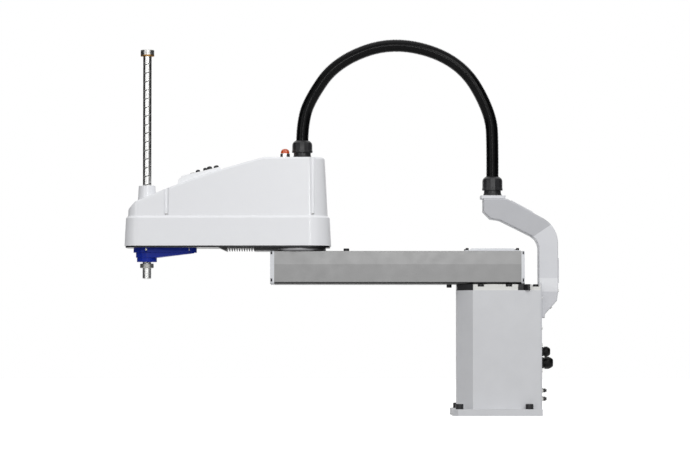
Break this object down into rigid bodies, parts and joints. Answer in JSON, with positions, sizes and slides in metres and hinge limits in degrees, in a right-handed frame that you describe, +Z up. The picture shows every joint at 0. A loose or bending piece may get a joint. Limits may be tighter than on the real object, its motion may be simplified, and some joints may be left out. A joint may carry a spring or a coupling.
{
  "type": "scara robot",
  "caption": "Bench-mounted four-axis assembly robot: fixed column, two-link horizontal arm, vertical ball screw spline shaft and an arching cable duct.",
  "frame": {"origin": "first axis at the underside of the foot, in the middle of the four base bolts", "axes": "+Z up along the first axis, the arm stretched out along -X, connectors on the +X side"},
  "size_m": [1.0023, 0.204, 0.872],
  "materials": {
    "cast_paint": "powder coat over cast aluminium, light grey, satin",
    "sheet_paint": "powder coat on sheet steel, light grey, satin",
    "white_cover": "moulded plastic, white, half gloss",
    "white_paint": "white paint over cast aluminium, half gloss",
    "extrusion": "clear anodised, fine brushed",
    "cap_paint": "white paint, satin",
    "black_paint": "black anodised, satin",
    "black_plastic": "moulded nylon, black",
    "duct_plastic": "corrugated nylon, black",
    "blue_plastic": "moulded, deep blue",
    "ground_steel": "ground and hardened steel",
    "machined_steel": "turned steel",
    "bearing_steel": "ground bearing steel",
    "screw_black": "black oxide",
    "screw_zinc": "bright zinc",
    "bronze_ring": "sintered bronze, darkened",
    "lamp_chrome": "chrome plate",
    "lamp_lens": "clear orange lens",
    "motor_case": "black anodised motor case",
    "belt_rubber": "toothed belt, moulded rubber",
    "connector_grey": "light grey sockets with metal shells"
  },
  "bodies": {
    "base": {"base_casting": "cast_paint", "base_top_flange": "cast_paint", "base_front_cap": "black_plastic", "j1_stop_blocks": "black_paint", "top_flange_bolts": "screw_black", "base_rear_panel": "sheet_paint", "panel_screws": "screw_zinc", "rear_cable_glands": "black_plastic", "rear_air_fittings": "black_plastic", "duct_bracket": "sheet_paint", "bracket_cover_plates": "sheet_paint", "rear_duct_gland": "black_plastic", "j1_motor": "motor_case", "j1_reducer_housing": "machined_steel", "j1_bearing": "bearing_steel"},
    "j1_generator": {"j1_wave_generator": "bearing_steel"},
    "arm_1": {"j1_output_flange": "machined_steel", "arm1_beam": "extrusion", "front_end_cap": "cap_paint", "rear_end_cap": "cap_paint", "beam_screws": "screw_black", "j1_cover_plate": "cap_paint", "stop_bolts": "screw_black", "j2_hub": "machined_steel", "cable_duct": "duct_plastic"},
    "j2_generator": {"j2_wave_generator": "bearing_steel"},
    "arm_2": {"j2_bearing": "bearing_steel", "j2_reducer_housing": "machined_steel", "j2_motor": "motor_case", "elbow_plate": "black_paint", "arm2_underplate": "black_paint", "arm2_tray": "white_paint", "arm2_cover": "white_cover", "arm2_screws": "screw_zinc", "user_panel": "white_cover", "panel_air_fittings": "black_plastic", "user_connectors": "connector_grey", "front_duct_gland": "black_plastic", "lamp_bezel": "lamp_chrome", "lamp_dome": "lamp_lens", "nut_housing": "blue_plastic", "nut_bearings": "bearing_steel", "ball_nut_carrier": "machined_steel", "z_brake": "motor_case", "z_belt": "belt_rubber", "u_belt": "belt_rubber", "motor_mounts": "machined_steel", "j3_motor": "motor_case", "j4_motor": "motor_case"},
    "spline_drive": {"spline_nut": "bearing_steel", "spline_nut_pulley": "black_paint"},
    "shaft": {"spline_shaft": "ground_steel", "top_stop_cap": "machined_steel", "cushion_ring": "bronze_ring", "lower_stop_collar": "machined_steel"},
    "ball_nut_drive": {"ball_nut": "bearing_steel", "ball_nut_pulley": "black_paint"},
    "z_motor_pulley": {"j3_motor_pulley": "machined_steel"},
    "u_motor_pulley": {"j4_motor_pulley": "machined_steel"},
    "brake_button": {"brake_release_button": "black_plastic"}
  },
  "joints": [
    {"name": "j1_turn", "type": "hinge", "parent": "base", "child": "arm_1", "pos_m": [0, 0, 0.3], "axis": [0, 0, 1], "range_deg": [-132, 132]},
    {"name": "j1_generator_spin", "type": "hinge", "parent": "base", "child": "j1_generator", "pos_m": [0, 0, 0.28], "axis": [0, 0, 1], "range_deg": [-10570, 10570]},
    {"name": "j2_turn", "type": "hinge", "parent": "arm_1", "child": "arm_2", "pos_m": [-0.45, 0, 0.38], "axis": [0, 0, 1], "range_deg": [-150, 150]},
    {"name": "j2_generator_spin", "type": "hinge", "parent": "arm_2", "child": "j2_generator", "pos_m": [-0.45, 0, 0.39], "axis": [0, 0, 1], "range_deg": [-7510, 7510]},
    {"name": "j4_turn", "type": "hinge", "parent": "arm_2", "child": "spline_drive", "pos_m": [-0.8, 0, 0.4], "axis": [0, 0, 1], "range_deg": [-360, 360]},
    {"name": "j3_lift", "type": "slide", "parent": "spline_drive", "child": "shaft", "axis": [0, 0, 1], "range_m": [-0.3, 0]},
    {"name": "ball_nut_spin", "type": "hinge", "parent": "arm_2", "child": "ball_nut_drive", "pos_m": [-0.8, 0, 0.45], "axis": [0, 0, 1], "range_deg": [-10, 5410]},
    {"name": "z_motor_spin", "type": "hinge", "parent": "arm_2", "child": "z_motor_pulley", "pos_m": [-0.66, 0, 0.45], "axis": [0, 0, 1], "range_deg": [-10, 9910]},
    {"name": "u_motor_spin", "type": "hinge", "parent": "arm_2", "child": "u_motor_pulley", "pos_m": [-0.58, 0, 0.41], "axis": [0, 0, 1], "range_deg": [-874, 874]},
    {"name": "brake_release_press", "type": "slide", "parent": "arm_2", "child": "brake_button", "axis": [-0.23, 0, 0.9732], "range_m": [-0.002, 0], "stiffness_N_per_m": 600, "springref_m": 0.001}
  ],
  "couplings": [
    {"joint": "j1_generator_spin", "follows": "j1_turn", "ratio": -80},
    {"joint": "j2_generator_spin", "follows": "j2_turn", "ratio": 50},
    {"joint": "ball_nut_spin", "follows": "j3_lift", "rad_per_m": -314.16},
    {"joint": "z_motor_spin", "follows": "j3_lift", "rad_per_m": -575.96},
    {"joint": "u_motor_spin", "follows": "j4_turn", "ratio": 2.4}
  ]
}
